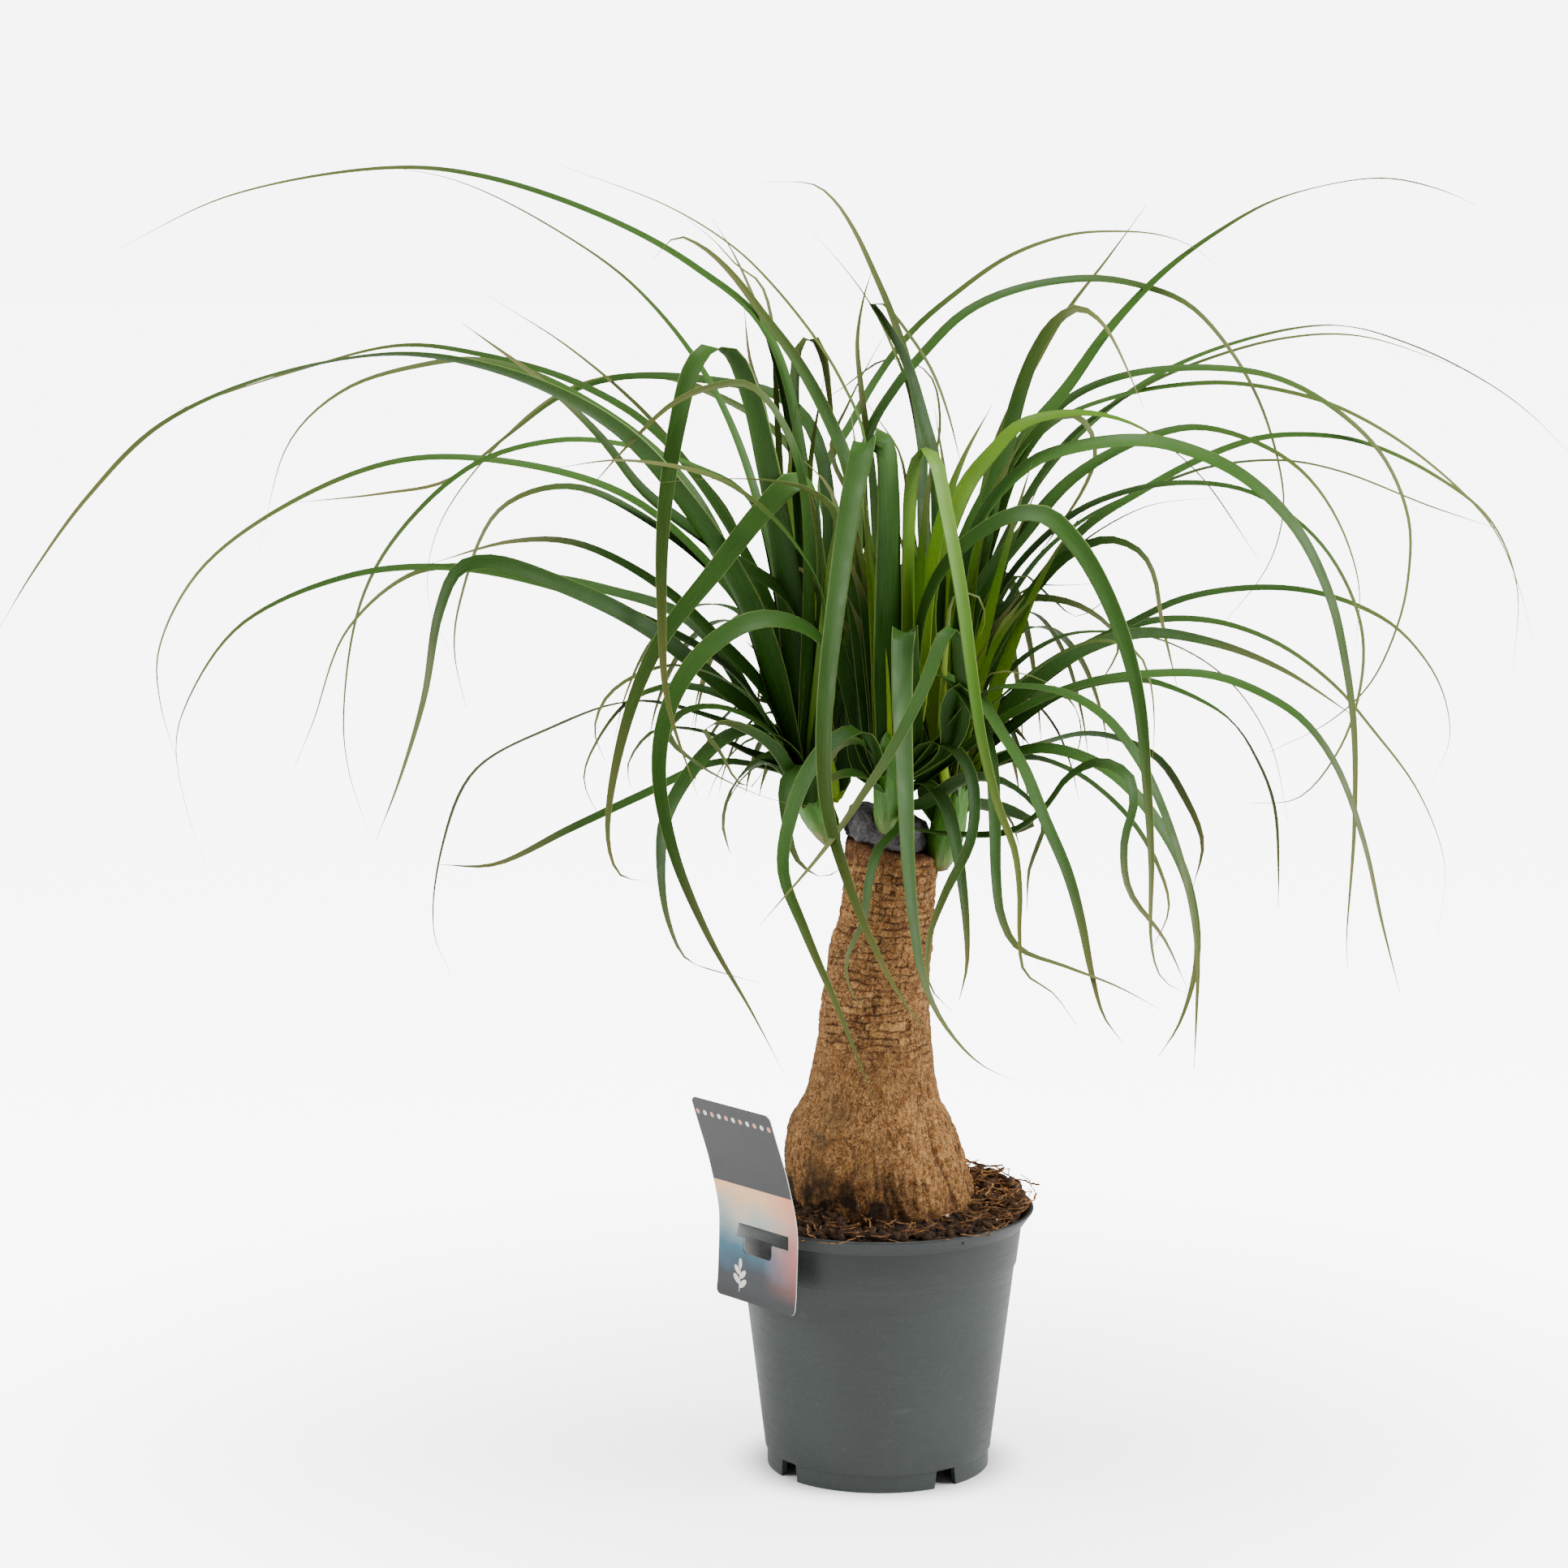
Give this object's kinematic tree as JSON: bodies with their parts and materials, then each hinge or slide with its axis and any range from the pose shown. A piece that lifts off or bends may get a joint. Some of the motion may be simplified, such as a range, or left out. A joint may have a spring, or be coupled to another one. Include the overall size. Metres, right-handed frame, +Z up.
{
  "type": "potted plant",
  "caption": "Ponytail palm with a swollen woody trunk and long arching strap leaves, standing in a filled plastic nursery pot with a card hooked over the rim.",
  "frame": {"origin": "on the standing surface, under the centre of the whole plant's bounding box, which is within a few millimetres of the pot's axis", "axes": "+Z up the trunk, -Y towards the front from which the card is seen, +X to the right, along the widest spread of the leaves"},
  "size_m": [0.8537, 0.6008, 0.7202],
  "materials": {
    "pot_plastic": "satin dark grey moulded polypropylene with light scuffs",
    "peat": "damp dark peat with reddish coir fibres and white perlite",
    "bark": "dry tan corky bark with fine rings above and upright ribs below",
    "wax": "dark grey sealing wax, lumpy, slightly glossy",
    "leaf_left": "satin green strap leaves with pale margins",
    "leaf_middle": "satin green strap leaves with pale margins, yellowish at the base",
    "leaf_right": "satin green strap leaves with pale margins",
    "card": "smooth printed card with a dark header, a soft gradient and white edges"
  },
  "bodies": {
    "root": {"pot": "pot_plastic", "soil": "peat", "trunk": "bark", "cut_cap": "wax", "left_head": "leaf_left", "middle_head": "leaf_middle", "right_head": "leaf_right", "label": "card"}
  },
  "joints": []
}
